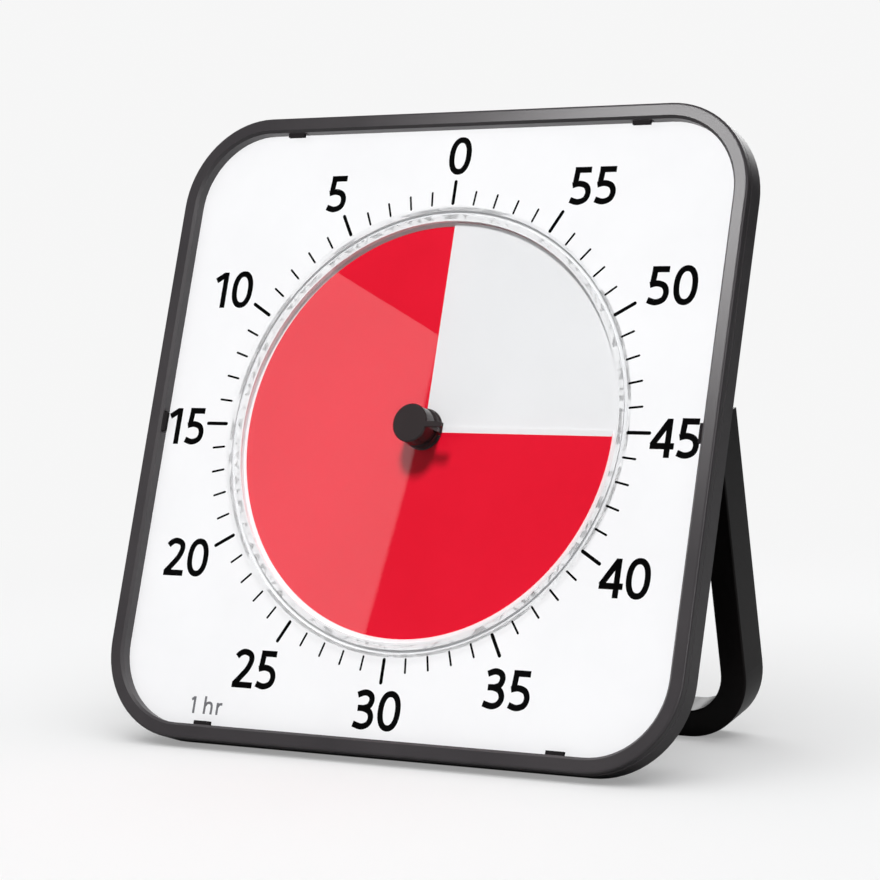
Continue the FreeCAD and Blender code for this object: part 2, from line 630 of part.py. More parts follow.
# Spindle with the collar that keeps it in the movement case
spindle = new_body("spindle")
outline = new_sketch(spindle, 0, "XZ_Plane")
collar_top = -well_back - d.case_wall - d.fit_gap
draw_outline(outline, [
    (0, d.spindle_short - case_back), (d.spindle_radius, d.spindle_short - case_back),
    (d.spindle_radius, collar_top - d.collar_thick), (d.collar_radius, collar_top - d.collar_thick),
    (d.collar_radius, collar_top), (d.spindle_radius, collar_top),
    (d.spindle_radius, d.spindle_top), (0, d.spindle_top)])
turn(spindle, outline)

# Clock movement: case with threaded bush, push-in cover, washer and nut
case = new_body("movement_case")
case_half = d.case_side / 2
outline = new_sketch(case, -case_back)
draw_square(outline, case_half, d.case_round)
pad(case, outline, d.case_depth)
outline = new_sketch(case, -case_back)
draw_square(outline, case_half - d.case_wall, d.case_round - d.case_wall)
cut(case, outline, d.case_depth - d.case_wall)
outline = new_sketch(case, -well_back)
draw_circle(outline, 0, 0, d.bush_radius)
pad(case, outline, d.bush_height)
outline = new_sketch(case, -case_back)
draw_circle(outline, 0, 0, d.spindle_radius + d.run_gap)
cut(case, outline)
cover = new_body("movement_cover")
outline = new_sketch(cover, -case_back - d.cover_thick)
draw_square(outline, case_half, d.case_round)
pad(cover, outline, d.cover_thick)
outline = new_sketch(cover, -case_back)
draw_square(outline, case_half - d.case_wall - d.fit_gap,
            d.case_round - d.case_wall - d.fit_gap)
pad(cover, outline, d.cover_step)
washer = new_body("movement_washer")
outline = new_sketch(washer, -d.well_depth)
draw_circle(outline, 0, 0, d.washer_radius)
draw_circle(outline, 0, 0, d.bush_radius + d.tongue_gap)
pad(washer, outline, d.washer_thick)
nut = new_body("movement_nut")
outline = new_sketch(nut, d.washer_thick - d.well_depth)
nut_corner = d.nut_flats / math.sqrt(3)
draw_outline(outline, [(nut_corner * math.cos(math.radians(60 * step)),
                        nut_corner * math.sin(math.radians(60 * step))) for step in range(6)])
draw_circle(outline, 0, 0, d.bush_radius)
pad(nut, outline, d.nut_height)

# Bail stand: a flat-sided U hung on two pins, its square heel stopping on the ledge
bail = new_body("bail_stand", d.pivot_up, -pivot_back, d.open_angle)
outline = new_sketch(bail, -bail_front)
blank_top = bail_heel + d.bail_outer_round
draw_rounded(outline, -bail_half, bail_half, -bail_length, blank_top, d.bail_outer_round)
pad(bail, outline, d.bail_depth)
outline = new_sketch(bail, -bail_front)
arm_inner = bail_half - d.bail_arm
draw_rounded(outline, -arm_inner, arm_inner, d.bail_arm - bail_length,
             blank_top + d.bail_inner_round, d.bail_inner_round)
cut(bail, outline, d.bail_depth)
outline = new_sketch(bail, -bail_front)
draw_box(outline, -bail_half - d.root, bail_half + d.root, bail_heel, blank_top + d.root)
cut(bail, outline, d.bail_depth)
dress(bail, "Fillet", d.bail_edge, lambda edge: flat_at(edge, bail_front.value, 90)
      and edge.BoundBox.YMin < 0)
# the moulding is cored out from behind, short of the solid pivot ends
outline = new_sketch(bail, -bail_front)
core_outer = bail_half - d.core_wall
core_inner = arm_inner + d.core_wall
draw_rounded(outline, -core_outer, core_outer, d.core_wall - bail_length, -d.core_end,
             d.bail_outer_round - d.core_wall)
draw_rounded(outline, -core_inner, core_inner, d.bail_arm - d.core_wall - bail_length,
             -d.core_end - d.root, d.bail_inner_round + d.core_wall)
cut(bail, outline, d.core_depth)
outline = new_sketch(bail, 0, "YZ_Plane")
draw_circle(outline, 0, 0, d.pin_radius + d.run_gap)
cut(bail, outline, (bail_half + d.root) * 2, midplane=True)

# Hinge pins: headed pins pressed into the housing bosses, one at each side
pins = new_body("hinge_pins", d.pivot_up, -pivot_back)
for side in (-1, 1):
    outline = new_sketch(pins, (boss_inner + d.pin_short) * side, "YZ_Plane")
    draw_circle(outline, 0, 0, d.pin_radius)
    pad(pins, outline, bail_half + d.fit_gap - boss_inner, reverse=side < 0)
    outline = new_sketch(pins, (bail_half + d.fit_gap) * side, "YZ_Plane")
    draw_circle(outline, 0, 0, d.pin_head)
    pad(pins, outline, d.pin_head_thick, reverse=side < 0)

# Case screws: four pan heads on the ledge, driven into the face plate bosses
screws = new_body("case_screws")
outline = new_sketch(screws, -ledge)
for x, y in four_corners(screw_offset):
    draw_circle(outline, x, y, d.screw_radius)
pad(screws, outline, d.screw_length)
outline = new_sketch(screws, -ledge - head_height)
for x, y in four_corners(screw_offset):
    draw_circle(outline, x, y, d.head_radius)
pad(screws, outline, head_height)

# Battery, its two contacts and the flush door; the bodies sit on the cell axis
cell_level = cell_out - d.body_depth
cell_left = d.spring_space - d.bay_length / 2
cell = new_body("battery_cell", d.bay_level, cell_level)
outline = new_sketch(cell, 0)
cell_right = cell_left + d.cell_length
draw_outline(outline, [
    (cell_left, 0), (cell_left, d.cell_radius - d.cell_round),
    (cell_left + d.cell_round, d.cell_radius), (cell_right - d.cell_round, d.cell_radius),
    (cell_right, d.cell_radius - d.cell_round),
    (cell_right, d.nub_radius), (cell_right + d.nub_length, d.nub_radius),
    (cell_right + d.nub_length, 0)])
turn(cell, outline, axis="H_Axis")
spring = new_body("battery_spring", d.bay_level, cell_level)
outline = new_sketch(spring, -d.bay_length / 2, "YZ_Plane")
contact_half = d.contact_side / 2
draw_box(outline, -contact_half, contact_half, -contact_half, contact_half)
pad(spring, outline, d.contact_thick)
# a tongue folded from the top of the plate, bent to press on the flat end of the cell
outline = new_sketch(spring, 0)
plate_face = d.contact_thick - d.bay_length / 2
nose = d.spring_nose / 2
tail = cell_left - d.spring_bend
draw_outline(outline, [
    (plate_face, contact_half), (cell_left, nose), (cell_left, -nose), (tail, -d.spring_tail),
    (tail - d.contact_thick, -d.spring_tail), (cell_left - d.contact_thick, -nose),
    (cell_left - d.contact_thick, nose), (plate_face, contact_half - d.contact_thick * 2)])
pad(spring, outline, d.spring_width, midplane=True)
contact = new_body("battery_contact", d.bay_level, cell_level)
outline = new_sketch(contact, d.bay_length / 2 - d.contact_thick, "YZ_Plane")
draw_box(outline, -contact_half, contact_half, -contact_half, contact_half)
pad(contact, outline, d.contact_thick)
outline = new_sketch(contact, d.bay_length / 2 - d.contact_thick, "YZ_Plane")
draw_circle(outline, 0, 0, d.nub_radius)
contact_reach = d.bay_length / 2 - d.contact_thick - cell_right - d.nub_length
pad(contact, outline, contact_reach, reverse=True)
door = new_body("battery_door", d.bay_level)
outline = new_sketch(door, -d.body_depth)
draw_rounded(outline, -d.door_length / 2, d.door_length / 2, -d.door_height / 2,
             d.door_height / 2, d.small_round)
pad(door, outline, d.door_thick)
outline = new_sketch(door, -body_inner)
for side in (-1, 1):
    outer = d.bay_height / 2 - d.fit_gap
    inner = outer - d.door_rib
    low, high = (inner, outer) if side > 0 else (-outer, -inner)
    draw_box(outline, d.door_rib_inset - d.bay_length / 2, d.bay_length / 2 - d.door_rib_inset,
             low, high)
pad(door, outline, d.door_rib_height)
outline = new_sketch(door, -d.body_depth)
for step in (-1, 0, 1):
    draw_box(outline, d.grip_pitch * step - d.grip_width / 2,
             d.grip_pitch * step + d.grip_width / 2, -d.grip_length / 2, d.grip_length / 2)
cut(door, outline, d.grip_depth)

# Alert board with its buzzer can and the slide switch behind it
board = new_body("circuit_board")
outline = new_sketch(board, -board_back)
draw_rounded(outline, -d.board_half, d.board_half, d.board_low, d.board_high, d.small_round)
for x, y in post_spots:
    draw_circle(outline, x, y, d.post_pin + d.post_gap)
pad(board, outline, d.board_thick)
buzzer = new_body("buzzer")
outline = new_sketch(buzzer, d.board_thick - board_back)
draw_circle(outline, d.buzzer_side, d.alert_level, d.buzzer_radius)
pad(buzzer, outline, d.buzzer_height)
outline = new_sketch(buzzer, d.board_thick - board_back + d.buzzer_height)
draw_circle(outline, d.buzzer_side, d.alert_level, d.buzzer_port)
cut(buzzer, outline, d.buzzer_sink, up=False)
switch = new_body("switch_body")
outline = new_sketch(switch, -board_back - d.switch_deep)
draw_box(outline, d.switch_side - d.switch_length / 2, d.switch_side + d.switch_length / 2,
         d.alert_level - d.switch_height / 2, d.alert_level + d.switch_height / 2)
pad(switch, outline, d.switch_deep)
outline = new_sketch(switch, -board_back - d.switch_deep)
slot_half = stem_half + d.slider_travel / 2 + d.fit_gap
draw_box(outline, d.switch_side - slot_half, d.switch_side + slot_half,
         d.alert_level - stem_half - d.fit_gap, d.alert_level + stem_half + d.fit_gap)
cut(switch, outline, d.switch_deep - d.switch_floor)
slider = new_body("switch_slider")
slider_side = d.switch_side - d.slider_travel / 2
recess_level = d.body_depth - d.recess_depth
stem_top = board_back + d.switch_floor + d.fit_gap
outline = new_sketch(slider, -recess_level - d.fit_gap)
draw_box(outline, slider_side - stem_half, slider_side + stem_half,
         d.alert_level - stem_half, d.alert_level + stem_half)
pad(slider, outline, recess_level + d.fit_gap - stem_top)
outline = new_sketch(slider, d.slider_sink - d.body_depth)
draw_box(outline, slider_side - d.slider_length / 2, slider_side + d.slider_length / 2,
         d.alert_level - d.slider_height / 2, d.alert_level + d.slider_height / 2)
pad(slider, outline, d.recess_depth - d.fit_gap - d.slider_sink)

doc.recompute()
for item in doc.Objects:
    if "Invalid" in item.State or "Error" in item.State:
        raise RuntimeError("%s did not build: %s" % (item.Label, item.State))
os.makedirs("parts", exist_ok=True)
for body in bodies:
    if body.Shape.isNull() or not body.Shape.isValid():
        raise RuntimeError("%s has no valid shape" % body.Label)
for body in bodies:
    body.Shape.exportStep("parts/" + body.Label + ".step")
    box = body.Shape.BoundBox
    print("%-18s %9.0f mm3  %d solid  x %7.1f %7.1f  y %7.1f %7.1f  z %7.1f %7.1f" % (
        body.Label, body.Shape.Volume, len(body.Shape.Solids), box.XMin, box.XMax,
        box.YMin, box.YMax, box.ZMin, box.ZMax))
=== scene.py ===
import json
import math

import bpy
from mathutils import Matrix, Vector


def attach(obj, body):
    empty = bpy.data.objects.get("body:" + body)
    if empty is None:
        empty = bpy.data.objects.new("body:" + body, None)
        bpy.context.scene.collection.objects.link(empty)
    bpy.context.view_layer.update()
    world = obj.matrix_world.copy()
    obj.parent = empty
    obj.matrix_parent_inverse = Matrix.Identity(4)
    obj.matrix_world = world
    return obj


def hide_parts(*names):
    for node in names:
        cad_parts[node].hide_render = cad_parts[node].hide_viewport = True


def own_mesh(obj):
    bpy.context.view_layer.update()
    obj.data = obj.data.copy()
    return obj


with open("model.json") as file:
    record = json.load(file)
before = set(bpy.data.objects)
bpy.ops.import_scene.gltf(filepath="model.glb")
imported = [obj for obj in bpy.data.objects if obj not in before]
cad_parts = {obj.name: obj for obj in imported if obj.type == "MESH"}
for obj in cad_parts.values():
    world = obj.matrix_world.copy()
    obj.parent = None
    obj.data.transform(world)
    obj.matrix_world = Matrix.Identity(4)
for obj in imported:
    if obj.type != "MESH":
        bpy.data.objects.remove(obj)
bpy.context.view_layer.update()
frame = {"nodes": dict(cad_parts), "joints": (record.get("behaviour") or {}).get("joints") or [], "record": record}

# The dial frame: x to the right, y up the dial and h out towards the reader, in millimetres
joints = {joint["name"]: joint for joint in frame["joints"]}
DIAL_CENTRE = Vector(joints["dial_turn"]["pos_m"])
DIAL_NORMAL = Vector(joints["dial_turn"]["axis"]).normalized()
DIAL_RIGHT = Vector((1, 0, 0))
DIAL_UP = DIAL_NORMAL.cross(DIAL_RIGHT)


def dial(x, y, h):
    """The place in the frame of a point given in dial millimetres."""
    return DIAL_CENTRE + (DIAL_RIGHT * x + DIAL_UP * y + DIAL_NORMAL * h) / 1000


# Materials
GRAIN_SCALE, MOTTLE_SCALE, STREAK_SCALE = 900, 14, 400
MOTTLE_EDGES = (0.35, 0.65)
MOULDED_GLOSS_SPREAD, METAL_GLOSS_SPREAD = 0.04, 0.08
BUMP_STRENGTH = 0.35
COAT_ROUGHNESS = 0.12


def new_material(name):
    material = bpy.data.materials.new(name)
    material.use_nodes = True
    tree = material.node_tree
    tree.nodes.clear()
    output = tree.nodes.new("ShaderNodeOutputMaterial")
    return material, tree, output


def node(tree, kind, **settings):
    item = tree.nodes.new("ShaderNode" + kind)
    for key, value in settings.items():
        if hasattr(item, key) and key not in item.inputs:
            setattr(item, key, value)
        else:
            item.inputs[key.replace("_", " ")].default_value = value
    return item


def moulded(name, dark, light, roughness, depth=0.02, coat=0.0, specular=0.5):
    """Moulded plastic: a slight mottle in tone and gloss over a fine spark-eroded grain."""
    material, tree, output = new_material(name)
    place = node(tree, "TexCoord")
    cloud = node(tree, "TexNoise", Scale=MOTTLE_SCALE, Detail=4.0, Roughness=0.6)
    tone = node(tree, "ValToRGB")
    for stop, edge, colour in zip(tone.color_ramp.elements, MOTTLE_EDGES, (dark, light)):
        stop.position = edge
        stop.color = (*colour, 1)
    fine = node(tree, "TexNoise", Scale=GRAIN_SCALE, Detail=2.0, Roughness=0.5)
    spread = node(tree, "MapRange")
    spread.inputs["To Min"].default_value = roughness - MOULDED_GLOSS_SPREAD
    spread.inputs["To Max"].default_value = roughness + MOULDED_GLOSS_SPREAD
    bump = node(tree, "Bump", Strength=BUMP_STRENGTH, Distance=depth / 1000)
    shader = node(tree, "BsdfPrincipled")
    shader.inputs["Coat Weight"].default_value = coat
    shader.inputs["Coat Roughness"].default_value = COAT_ROUGHNESS
    shader.inputs["Specular IOR Level"].default_value = specular
    link = tree.links.new
    link(place.outputs["Object"], cloud.inputs["Vector"])
    link(place.outputs["Object"], fine.inputs["Vector"])
    link(cloud.outputs["Fac"], tone.inputs["Fac"])
    link(tone.outputs["Color"], shader.inputs["Base Color"])
    link(cloud.outputs["Fac"], spread.inputs["Value"])
    link(spread.outputs["Result"], shader.inputs["Roughness"])
    link(fine.outputs["Fac"], bump.inputs["Height"])
    link(bump.outputs["Normal"], shader.inputs["Normal"])
    link(shader.outputs["BSDF"], output.inputs["Surface"])
    return material


def paint_recess_shade(material, half, radius, colour):
    """Painted shade on the lugs inside the bezel's round-cornered opening: a flat matt dark colour that stands in
    for the shade of the recess.
    """
    tree = material.node_tree
    shader = [item for item in tree.nodes if item.type == "BSDF_PRINCIPLED"][0]
    place = node(tree, "TexCoord")
    offset = node(tree, "VectorMath", operation="SUBTRACT")
    offset.inputs[1].default_value = tuple(DIAL_CENTRE)
    link = tree.links.new
    link(place.outputs["Object"], offset.inputs[0])
    reaches = []
    for direction in (DIAL_RIGHT, DIAL_UP):
        along = node(tree, "VectorMath", operation="DOT_PRODUCT")
        along.inputs[1].default_value = tuple(direction)
        size = node(tree, "Math", operation="ABSOLUTE")
        past_corner_centre = node(tree, "Math", operation="SUBTRACT")
        past_corner_centre.inputs[1].default_value = (half - radius) / 1000
        kept = node(tree, "Math", operation="MAXIMUM")
        kept.inputs[1].default_value = 0.0
        link(offset.outputs["Vector"], along.inputs[0])
        link(along.outputs["Value"], size.inputs[0])
        link(size.outputs["Value"], past_corner_centre.inputs[0])
        link(past_corner_centre.outputs["Value"], kept.inputs[0])
        reaches.append(kept)
    corner = node(tree, "CombineXYZ")
    reach = node(tree, "VectorMath", operation="LENGTH")
    inside = node(tree, "Math", operation="LESS_THAN")
    inside.inputs[1].default_value = radius / 1000
    link(reaches[0].outputs["Value"], corner.inputs["X"])
    link(reaches[1].outputs["Value"], corner.inputs["Y"])
    link(corner.outputs["Vector"], reach.inputs[0])
    link(reach.outputs["Value"], inside.inputs[0])
    output = [item for item in tree.nodes if item.type == "OUTPUT_MATERIAL"][0]
    # Painted shade: inside the opening the moulded shader gives way to this dark matt colour
    matt = node(tree, "BsdfDiffuse", Color=(*colour, 1))
    mix = node(tree, "MixShader")
    link(inside.outputs["Value"], mix.inputs["Fac"])
    link(shader.outputs["BSDF"], mix.inputs[1])
    link(matt.outputs["BSDF"], mix.inputs[2])
    link(mix.outputs["Shader"], output.inputs["Surface"])


SIDE_FACING, FRONT_FACING = 0.80, 0.97


def knob_plastic(name, colour, matt_roughness, gloss_roughness):
    """Black plastic with a matt textured front and smooth glossy sides."""
    material, tree, output = new_material(name)
    place = node(tree, "TexCoord")
    shape = node(tree, "NewGeometry")
    forward = node(tree, "VectorMath", operation="DOT_PRODUCT")
    forward.inputs[1].default_value = tuple(DIAL_NORMAL)
    front = node(tree, "MapRange")
    front.inputs["From Min"].default_value = SIDE_FACING
    front.inputs["From Max"].default_value = FRONT_FACING
    front.inputs["To Min"].default_value = gloss_roughness
    front.inputs["To Max"].default_value = matt_roughness
    cloud = node(tree, "TexNoise", Scale=60.0, Detail=4.0)
    tone = node(tree, "ValToRGB")
    tone.color_ramp.elements[0].color = (*[0.85 * value for value in colour], 1)
    tone.color_ramp.elements[1].color = (*[1.15 * value for value in colour], 1)
    shader = node(tree, "BsdfPrincipled")
    shader.inputs["Specular IOR Level"].default_value = 0.35
    link = tree.links.new
    link(shape.outputs["Normal"], forward.inputs[0])
    link(forward.outputs["Value"], front.inputs["Value"])
    link(front.outputs["Result"], shader.inputs["Roughness"])
    link(place.outputs["Object"], cloud.inputs["Vector"])
    link(cloud.outputs["Fac"], tone.inputs["Fac"])
    link(tone.outputs["Color"], shader.inputs["Base Color"])
    link(shader.outputs["BSDF"], output.inputs["Surface"])
    return material


def metal(name, colour, roughness):
    """Plated or turned metal with fine streaks in its gloss."""
    material, tree, output = new_material(name)
    place = node(tree, "TexCoord")
    streak = node(tree, "TexNoise", Scale=STREAK_SCALE, Detail=3.0)
    spread = node(tree, "MapRange")
    spread.inputs["To Min"].default_value = roughness - METAL_GLOSS_SPREAD
    spread.inputs["To Max"].default_value = roughness + METAL_GLOSS_SPREAD
    shader = node(tree, "BsdfPrincipled")
    shader.inputs["Base Color"].default_value = (*colour, 1)
    shader.inputs["Metallic"].default_value = 1
    tree.links.new(place.outputs["Object"], streak.inputs["Vector"])
    tree.links.new(streak.outputs["Fac"], spread.inputs["Value"])
    tree.links.new(spread.outputs["Result"], shader.inputs["Roughness"])
    tree.links.new(shader.outputs["BSDF"], output.inputs["Surface"])
    return material


LENS_ROUGHNESS = (0.010, 0.014)
LENS_REFLECTION = (0.04, 0.35)
LENS_STEEPNESS = 5.0


def clear_plastic(name):
    """Clear window: see-through, with a reflection that grows towards grazing angles."""
    material, tree, output = new_material(name)
    place = node(tree, "TexCoord")
    smear = node(tree, "TexNoise", Scale=35.0, Detail=3.0)
    gloss_range = node(tree, "MapRange")
    gloss_range.inputs["To Min"].default_value = LENS_ROUGHNESS[0]
    gloss_range.inputs["To Max"].default_value = LENS_ROUGHNESS[1]
    clear = node(tree, "BsdfTransparent", Color=(0.99, 0.992, 0.992, 1))
    gloss = node(tree, "BsdfGlossy", Color=(1, 1, 1, 1))
    facing = node(tree, "LayerWeight", Blend=0.5)
    steep = node(tree, "Math", operation="POWER")
    steep.inputs[1].default_value = LENS_STEEPNESS
    share = node(tree, "MapRange")
    share.inputs["To Min"].default_value = LENS_REFLECTION[0]
    share.inputs["To Max"].default_value = LENS_REFLECTION[1]
    mix = node(tree, "MixShader")
    link = tree.links.new
    link(place.outputs["Object"], smear.inputs["Vector"])
    link(smear.outputs["Fac"], gloss_range.inputs["Value"])
    link(gloss_range.outputs["Result"], gloss.inputs["Roughness"])
    link(facing.outputs["Facing"], steep.inputs[0])
    link(steep.outputs["Value"], share.inputs["Value"])
    link(share.outputs["Result"], mix.inputs["Fac"])
    link(clear.outputs["BSDF"], mix.inputs[1])
    link(gloss.outputs["BSDF"], mix.inputs[2])
    link(mix.outputs["Shader"], output.inputs["Surface"])
    return material


charcoal = moulded("charcoal_grain", (0.045, 0.041, 0.044), (0.058, 0.053, 0.056), 0.38, depth=0.05)
stand_black = moulded("stand_black", (0.006, 0.005, 0.005), (0.010, 0.008, 0.008), 0.3,
                      depth=0.008, specular=0.17)
knob_black = knob_plastic("knob_black", (0.035, 0.028, 0.029), 0.6, 0.14)
white_print = moulded("white_face", (0.86, 0.86, 0.87), (0.89, 0.89, 0.90), 0.45, depth=0.006,
                      specular=0.1)
black_ink = moulded("black_ink", (0.002, 0.002, 0.002), (0.004, 0.004, 0.004), 0.6, depth=0.002,
                    specular=0.0)
grey_ink = moulded("grey_ink", (0.16, 0.16, 0.17), (0.20, 0.20, 0.21), 0.5, depth=0.002,
                   specular=0.1)
red_sheet = moulded("red_sheet", (0.82, 0.006, 0.028), (0.86, 0.008, 0.033), 0.5, depth=0.006,
                    specular=0.08)
lens_clear = clear_plastic("lens_clear")
steel = metal("plated_steel", (0.55, 0.55, 0.56), 0.32)
brass = metal("turned_brass", (0.75, 0.58, 0.28), 0.3)
cell_grey = moulded("cell_jacket", (0.12, 0.13, 0.14), (0.16, 0.17, 0.18), 0.3, coat=0.4)
board_green = moulded("board_green", (0.015, 0.10, 0.05), (0.02, 0.13, 0.06), 0.35, coat=0.3)
switch_grey = moulded("switch_grey", (0.25, 0.25, 0.26), (0.3, 0.3, 0.31), 0.45)

# The bezel's own copy of the charcoal, with painted recess shade inside its opening
OPENING_HALF, OPENING_RADIUS = 145.1, 36.6
bezel_charcoal_recess_shade = moulded("bezel_charcoal_recess_shade", (0.039, 0.035, 0.038), (0.050, 0.045, 0.048), 0.38,
                         depth=0.05)
paint_recess_shade(bezel_charcoal_recess_shade, OPENING_HALF, OPENING_RADIUS, (0.02, 0.018, 0.019))

SLOT_MATERIALS = {
    "charcoal_shell": charcoal, "stand_plastic": stand_black, "white_face": white_print,
    "red_sheet": red_sheet, "clear_lens": lens_clear, "black_gloss": knob_black,
    "steel": steel, "brass": brass, "cell_jacket": cell_grey, "board_green": board_green,
    "switch_grey": switch_grey,
}
for part in frame["record"]["subparts"]:
    cad_node = frame["nodes"][part["node"]]
    cad_node.data.materials.clear()
    cad_node.data.materials.append(SLOT_MATERIALS[part["material_slot"]])
frame["nodes"]["front_bezel"].data.materials[0] = bezel_charcoal_recess_shade


# Mesh pieces
pieces = []


def add_piece(name, vertices, faces, material, body):
    """A mesh piece that rides a body, kept in the list of pieces for the lamps."""
    mesh = bpy.data.meshes.new(name)
    mesh.from_pydata([tuple(v) for v in vertices], [], faces)
    mesh.validate()
    mesh.update()
    mesh.materials.append(material)
    piece = bpy.data.objects.new(name, mesh)
    bpy.context.scene.collection.objects.link(piece)
    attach(piece, body)
    pieces.append(piece)
    return piece


def add_slab(outlines, low, high, name, material, body):
    """One mesh of thin flat slabs, each from an outline of (x, y) dial points."""
    vertices, faces = [], []
    for outline in outlines:
        base, count = len(vertices), len(outline)
        vertices += [dial(x, y, high) for x, y in outline]
        vertices += [dial(x, y, low) for x, y in outline]
        faces.append([base + i for i in range(count)])
        faces.append([base + count + i for i in reversed(range(count))])
        for i in range(count):
            j = (i + 1) % count
            faces.append([base + i, base + count + i, base + count + j, base + j])
    return add_piece(name, vertices, faces, material, body)


SHEET_STEPS, SHEET_RINGS, SHEET_THICK = 180, 6, 0.12


def winding_sheet(name, inner, outer, level, pitch, start, body, material):
    """A sheet through one turn counterclockwise, rising by pitch from its low edge."""
    turns, rings, half = SHEET_STEPS, SHEET_RINGS, SHEET_THICK / 2
    vertices, faces = [], []
    for side in (half, -half):
        for i in range(turns + 1):
            angle = math.radians(start + 360 * i / turns)
            height = level + pitch * i / turns + side
            for j in range(rings + 1):
                radius = inner + (outer - inner) * j / rings
                vertices.append(dial(radius * math.cos(angle), radius * math.sin(angle), height))
    ring = rings + 1
    under = (turns + 1) * ring
    for i in range(turns):
        for j in range(rings):
            a = i * ring + j
            faces.append([a, a + 1, a + ring + 1, a + ring])
            faces.append([under + a, under + a + ring, under + a + ring + 1, under + a + 1])
        for j in (0, rings):
            a = i * ring + j
            faces.append([a, a + ring, under + a + ring, under + a])
    for i in (0, turns):
        for j in range(rings):
            a = i * ring + j
            faces.append([a, under + a, under + a + 1, a + 1])
    return add_piece(name, vertices, faces, material, body)


# Dial sheets. The red one lies in front of the white one where it shows.
WHITE_LEVEL, SHEET_PITCH, RED_LIFT, RED_SINK = -2.88, 1.0, 0.35, 0.55
SHEET_HOLE, WHITE_RADIUS, RED_RADIUS = 5.0, 99.8, 98.2
WHITE_START, RED_START = 90, 0
white_sheet = winding_sheet("white_sheet", SHEET_HOLE, WHITE_RADIUS, WHITE_LEVEL, SHEET_PITCH,
                            WHITE_START, "case", white_print)
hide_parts("white_disc")
red_front = winding_sheet("red_sheet", SHEET_HOLE, RED_RADIUS, WHITE_LEVEL + RED_LIFT,
                          SHEET_PITCH, RED_START, "dial", red_sheet)
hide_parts("red_disc")
edge_level = WHITE_LEVEL + RED_LIFT + SHEET_PITCH
STRIP_LOW, STRIP_HIGH = -1.2, 1.5
STRIP_BELOW, STRIP_ABOVE = 0.08, 0.16
STRIP_INNER, STRIP_OUTER = 10.0, 98.1
STRIP_OUTLINE = [(STRIP_INNER, STRIP_LOW), (STRIP_OUTER, STRIP_LOW), (STRIP_OUTER, STRIP_HIGH),
                 (STRIP_INNER, STRIP_HIGH)]
edge_strip = add_slab([STRIP_OUTLINE], edge_level - STRIP_BELOW, edge_level + STRIP_ABOVE,
                      "edge_strip", white_print, "dial")
for flexible in (red_front, edge_strip):
    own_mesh(flexible)

# Nose of the setting knob: a short flat lever level with its front, over the leading edge
NOSE = [(7.5, -1.7), (16.7, -1.7), (17.3, -1.2), (17.3, 0.3), (16.7, 0.8), (7.5, 0.8)]
NOSE_LOW, NOSE_HIGH = 10.3, 12.02
add_slab([NOSE], NOSE_LOW, NOSE_HIGH, "knob_nose", knob_black, "dial")

# Printed face. Its marks are centred a little left of the dial axis, as in the photograph.
PRINT_X, PRINT_Y = -1.89, 0.37
INK = 0.03
STROKE = 2.9


def smooth_path(points, steps=7):
    """Points along a curve that passes smoothly through the given ones."""
    padded = [points[0]] + list(points) + [points[-1]]
    path = []
    for p0, p1, p2, p3 in zip(padded, padded[1:], padded[2:], padded[3:]):
        for step in range(steps):
            u = step / steps
            path.append(tuple(
                0.5 * (2 * b + (c - a) * u + (2 * a - 5 * b + 4 * c - d) * u * u
                       + (3 * b - a - 3 * c + d) * u ** 3)
                for a, b, c, d in zip(p0, p1, p2, p3)))
    return path + [points[-1]]


def print_strokes(name, strokes, material):
    """Ink lines of even width as one thin film on the face: strokes are (path, width)."""
    vertices, faces = [], []
    for path, width in strokes:
        closed = path[0] == path[-1]
        last = len(path) - 1
        for i, (x, y) in enumerate(path):
            before = path[i - 1] if i else (path[-2] if closed else path[0])
            after = path[i + 1] if i < last else (path[1] if closed else path[-1])
            along = Vector((after[0] - before[0], after[1] - before[1])).normalized()
            across = Vector((-along.y, along.x)) * width / 2
            vertices.append(dial(x + across.x, y + across.y, INK))
            vertices.append(dial(x - across.x, y - across.y, INK))
            if i:
                k = len(vertices)
                faces.append([k - 4, k - 3, k - 1, k - 2])
    return add_piece(name, vertices, faces, material, "case")


# Where the minute marks start, then the end and half width of the long and the short ones
MARK_START = 107.7
LONG_MARK, SHORT_MARK = (120.0, 0.85), (115.0, 0.52)


def minute_mark(index):
    """One radial mark with rounded ends, drawn as a line whose tips narrow round."""
    long_mark = index % 5 == 0
    inner = MARK_START
    outer, half = LONG_MARK if long_mark else SHORT_MARK
    angle = math.radians(90 + 6 * index)
    along = (math.cos(angle), math.sin(angle))
    across = (-along[1], along[0])
    points = []
    for centre, turn in ((outer - half, -90), (inner + half, 90)):
        for step in range(7):
            bend = math.radians(turn + 30 * step)
            r = centre + half * math.cos(bend)
            w = half * math.sin(bend)
            points.append((PRINT_X + along[0] * r + across[0] * w,
                           PRINT_Y + along[1] * r + across[1] * w))
    return points


add_slab([minute_mark(i) for i in range(60)], 0.0, INK, "minute_marks", black_ink, "case")

